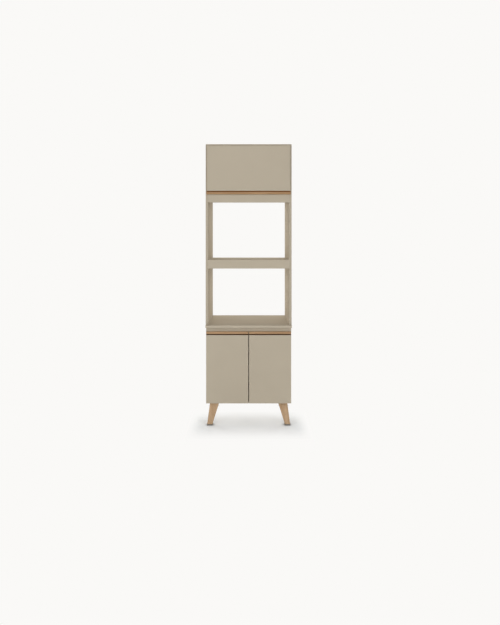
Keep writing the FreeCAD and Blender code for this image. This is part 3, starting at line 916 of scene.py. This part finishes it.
@dataclass
class Studio:
    """Pale floor, soft lamps, white surround and the camera of the photograph's view.

    The floor keeps the lamps' shadow within shadow_start of shadow_middle, along X and Y, and it
    fades out by shadow_end. shadow_share of it is kept in the middle and side_share at the sides,
    with the change between the two distances of side_rise. Elsewhere the floor shows the backdrop.
    matte_contact paints contact shade into the floor's colour where the shadow is kept, and
    plain_contact paints it into the backdrop.
    Lengths are in metres, but film is in millimetres, and the horizon's row, the vanishing column
    and the focal length are in the photograph's pixels.
    """

    backdrop: Colour = tone(250, 249, 247)
    floor_colour: Colour = tone(250, 253, 254)
    matte_contact: Contact = Contact(0.02, 0.35, 0.6)
    plain_contact: Contact = Contact(0.03, 0.55, 0.5)
    floor_half: float = 30.0
    surround: float = 0.22
    surround_colour: Colour = (1.0, 0.995, 0.985)
    aim: tuple[float, float, float] = (0.0, 0.0, 1.05)
    lamp_plan: tuple[Lamp, ...] = (
        Lamp("key", (-0.5, -4.6, 3.4), 1.2, 33.0),
        Lamp("front_left", (-3.4, -4.0, 1.6), 2.0, 82.5),
        Lamp("front_right", (3.4, -4.0, 1.6), 2.0, 77.0),
        Lamp("back_left", (-3.2, 2.8, 1.5), 2.2, 71.0),
        Lamp("back_right", (3.2, 2.8, 1.5), 2.2, 59.0),
        Lamp("high_back", (0.0, 3.4, 3.4), 2.6, 110.0),
        Lamp("overhead", (0.0, 0.4, 4.8), 2.6, 22.0),
    )
    shadow_middle: Span = (0.0, -0.20)
    shadow_start: Span = (0.355, 0.02)
    shadow_end: Span = (0.46, 0.31)
    shadow_share: float = 0.59
    side_share: float = 0.9
    side_rise: Span = (0.25, 0.35)
    photo_width: int = 500
    photo_height: int = 625
    horizon_row: float = 240.0
    vanishing_column: float = 250.0
    focal_pixels: float = 489.0
    film: float = 36.0
    distance: float = 3.70
    eye_height: float = 1.405
    aside: float = 0.0102
    board_front: float = -0.2275
    farthest: float = 200.0

    def build(self) -> None:
        """Make the camera, the surround, the floor and the lamps."""
        self.camera()
        self.world()
        self.floor()
        self.lamps()

    def camera(self) -> None:
        """Place a level camera whose frame is shifted down, as the photograph's is."""
        data = bpy.data.cameras.new("camera")
        data.lens = self.focal_pixels * self.film / self.photo_height
        data.sensor_width = self.film
        data.shift_y = -(self.photo_height / 2 - self.horizon_row) / self.photo_height
        data.shift_x = -(self.vanishing_column - self.photo_width / 2) / self.photo_height
        data.clip_end = self.farthest
        camera = bpy.data.objects.new("camera", data)
        camera.location = (self.aside, self.board_front - self.distance, self.eye_height)
        camera.rotation_euler = (QUARTER_TURN, 0, 0)
        bpy.context.collection.objects.link(camera)
        bpy.context.scene.camera = camera
        LOG.info("camera at %.3f m in front", self.distance)

    def world(self) -> None:
        """Light from all round, and the pale backdrop where the camera or a reflection sees it."""
        world = bpy.data.worlds.new("surround")
        world.use_nodes = True
        bpy.context.scene.world = world
        nodes, links = world.node_tree.nodes, world.node_tree.links
        nodes.clear()
        output = nodes.new("ShaderNodeOutputWorld")
        mix = nodes.new("ShaderNodeMixShader")
        light = nodes.new("ShaderNodeBackground")
        light.inputs["Color"].default_value = (*self.surround_colour, 1.0)
        light.inputs["Strength"].default_value = self.surround
        seen = nodes.new("ShaderNodeBackground")
        seen.inputs["Color"].default_value = (*self.backdrop, 1.0)
        seen.inputs["Strength"].default_value = 1.0
        path = nodes.new("ShaderNodeLightPath")
        either = nodes.new("ShaderNodeMath")
        either.operation = "MAXIMUM"
        links.new(path.outputs["Is Camera Ray"], either.inputs[0])
        more = nodes.new("ShaderNodeMath")
        more.operation = "MAXIMUM"
        links.new(path.outputs["Is Glossy Ray"], more.inputs[0])
        links.new(path.outputs["Is Transmission Ray"], more.inputs[1])
        links.new(more.outputs[0], either.inputs[1])
        links.new(either.outputs[0], mix.inputs[0])
        links.new(light.outputs[0], mix.inputs[1])
        links.new(seen.outputs[0], mix.inputs[2])
        links.new(mix.outputs[0], output.inputs["Surface"])

    def floor(self) -> None:
        """A wide pale floor that keeps the shadow and fades into the backdrop."""
        half = self.floor_half
        mesh = bpy.data.meshes.new("floor")
        corners = [(-half, -half, 0), (half, -half, 0), (half, half, 0), (-half, half, 0)]
        mesh.from_pydata(corners, [], [(0, 1, 2, 3)])
        plane = bpy.data.objects.new("floor", mesh)
        bpy.context.collection.objects.link(plane)
        sheet = Sheet("studio_floor")
        sheet.nodes.remove(sheet.shader)
        # Both floor colours get painted contact shade near what stands on the floor.
        lit = self.matte_contact.shade(sheet, self.floor_colour)
        matte = sheet.add("BsdfDiffuse", {"Color": lit})
        unlit = self.plain_contact.shade(sheet, self.backdrop)
        plain = sheet.add("Emission", {"Color": unlit, "Strength": 1.0})
        sides = sheet.add("SeparateXYZ", {0: sheet.place}).outputs
        seen = sheet.add("LightPath").outputs["Is Camera Ray"]
        across = sheet.sum("ABSOLUTE", sides["X"], 0.0)
        kept = sheet.spread(across, self.shadow_share, self.side_share, *self.side_rise)
        fades = zip(sides, self.shadow_middle, self.shadow_start, self.shadow_end)
        for side, middle, start, end in fades:
            away = sheet.sum("ABSOLUTE", sheet.sum("SUBTRACT", side, middle), 0.0)
            near = sheet.add("MapRange", {"Value": away, "From Min": start, "From Max": end,
                                          "To Min": 1.0, "To Max": 0.0},
                             interpolation_type="SMOOTHSTEP")
            kept = sheet.sum("MULTIPLY", near.outputs[0], kept)
        share = sheet.sum("MULTIPLY", sheet.sum("SUBTRACT", 1.0, kept), seen)
        mixed = sheet.add("MixShader", {0: share, 1: matte.outputs[0], 2: plain.outputs[0]})
        sheet.links.new(mixed.outputs[0], sheet.output.inputs["Surface"])
        mesh.materials.append(sheet.material)

    def lamps(self) -> None:
        """Hang the lamps, all aimed at the cabinet's middle."""
        aim = Vector(self.aim)
        for plan in self.lamp_plan:
            data = bpy.data.lights.new(plan.name, "AREA")
            data.shape = "DISK"
            data.size = plan.size
            data.energy = plan.power
            lamp = bpy.data.objects.new(plan.name, data)
            lamp.location = plan.place
            lamp.rotation_euler = (aim - Vector(plan.place)).to_track_quat("-Z", "Y").to_euler()
            lamp.visible_camera = False
            bpy.context.collection.objects.link(lamp)
            LOG.info("lamp %s", plan.name)


def main() -> None:
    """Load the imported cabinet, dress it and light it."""
    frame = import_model()
    bpy.context.scene.view_settings.view_transform = "Standard"
    record = frame["record"]
    bodies = {name: body for body, names in record["behaviour"]["bodies"].items()
              for name in names}
    slots = {entry["node"]: entry["material_slot"] for entry in record["subparts"]}
    bench = Bench(frame["nodes"], bodies, slots, Finishes())
    for maker in (TowerCase, BaseCase, Leaves, LegSet, Ironwork, Fasteners):
        maker(bench).dress()
        LOG.info("%s is dressed", maker.__name__)
    Studio().build()


if __name__ == "__main__":
    main()
